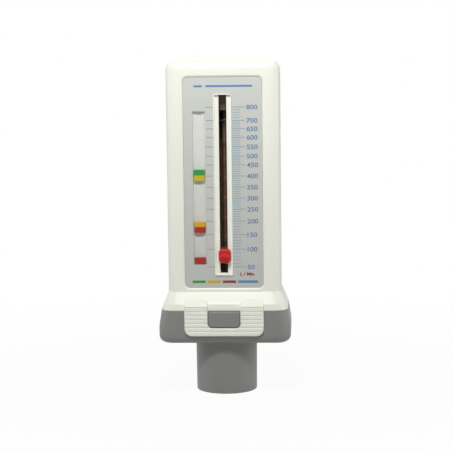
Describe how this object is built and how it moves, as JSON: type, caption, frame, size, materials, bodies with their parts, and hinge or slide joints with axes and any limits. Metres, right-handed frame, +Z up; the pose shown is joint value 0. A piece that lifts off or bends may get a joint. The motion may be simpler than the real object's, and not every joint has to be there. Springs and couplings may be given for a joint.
{
  "type": "peak flow meter",
  "caption": "Upright peak flow meter: slotted scale with a sliding red pointer, zone markers, latched grey base and mouthpiece spigot; spring-loaded piston inside.",
  "frame": {"origin": "centre of the mouthpiece spigot's lower rim, on the spigot's axis", "axes": "+Z up along the barrel and the pointer's travel, from the mouthpiece to the top of the casing; the scale faces -Y; +X to the right as seen from the front"},
  "size_m": [0.0608, 0.042, 0.1541],
  "materials": {
    "white_casing": "satin moulded ABS, warm white",
    "silver_plate": "satin silver printed plate",
    "pearl_track": "pearl white moulding",
    "black_barrel": "brown-black moulded plastic",
    "steel": "ground stainless steel",
    "spring_steel": "blackened spring wire",
    "soft_rubber": "black soft rubber",
    "grey_base": "fine satin grey ABS",
    "piston_plastic": "black acetal",
    "red_pointer": "bright red moulded plastic",
    "green_marker": "green moulded plastic",
    "yellow_marker": "yellow moulded plastic",
    "amber_marker": "amber moulded plastic",
    "red_marker": "red moulded plastic"
  },
  "bodies": {
    "casing": {"front_cover": "white_casing", "rear_cover": "white_casing", "scale_plate": "silver_plate", "slot_frame": "white_casing", "marker_track": "pearl_track", "barrel": "black_barrel", "guide_rod": "steel", "rod_nut": "steel", "return_spring": "spring_steel", "spring_seat": "steel", "top_plug": "black_barrel", "top_buffer": "soft_rubber", "inlet_spider": "grey_base", "stop_washer": "soft_rubber", "seal_ring": "soft_rubber", "base_housing": "grey_base"},
    "piston": {"piston": "piston_plastic"},
    "pointer": {"pointer_knob": "red_pointer", "pointer_shoe": "piston_plastic"},
    "upper_marker": {"upper_marker_green": "green_marker", "upper_marker_yellow": "yellow_marker"},
    "middle_marker": {"middle_marker_amber": "amber_marker", "middle_marker_red": "red_marker"},
    "lower_marker": {"lower_marker_red": "red_marker"},
    "front_latch": {"front_latch": "white_casing"},
    "rear_latch": {"rear_latch": "white_casing"}
  },
  "joints": [
    {"name": "piston_slide", "type": "slide", "parent": "casing", "child": "piston", "axis": [0, 0, 1], "range_m": [0, 0.0743], "stiffness_N_per_m": 20, "springref_m": -0.015, "deforming": ["return_spring"]},
    {"name": "pointer_slide", "type": "slide", "parent": "casing", "child": "pointer", "axis": [0, 0, 1], "range_m": [-0.0045, 0.0698]},
    {"name": "upper_marker_slide", "type": "slide", "parent": "casing", "child": "upper_marker", "axis": [0, 0, 1], "range_m": [-0.009, 0.026]},
    {"name": "middle_marker_slide", "type": "slide", "parent": "casing", "child": "middle_marker", "axis": [0, 0, 1], "range_m": [-0.0055, 0.009]},
    {"name": "lower_marker_slide", "type": "slide", "parent": "casing", "child": "lower_marker", "axis": [0, 0, 1], "range_m": [-0.0004, 0.005]},
    {"name": "front_latch_hinge", "type": "hinge", "parent": "casing", "child": "front_latch", "pos_m": [0, -0.017, 0.0435], "axis": [-1, 0, 0], "range_deg": [0, 8], "stiffness_Nm_per_rad": 0.4, "springref_deg": -1.15},
    {"name": "rear_latch_hinge", "type": "hinge", "parent": "casing", "child": "rear_latch", "pos_m": [0, 0.017, 0.0435], "axis": [1, 0, 0], "range_deg": [0, 8], "stiffness_Nm_per_rad": 0.4, "springref_deg": -1.15}
  ],
  "couplings": [
    {"joint": "pointer_slide", "follows": "piston_slide", "ratio": 0.9394}
  ]
}
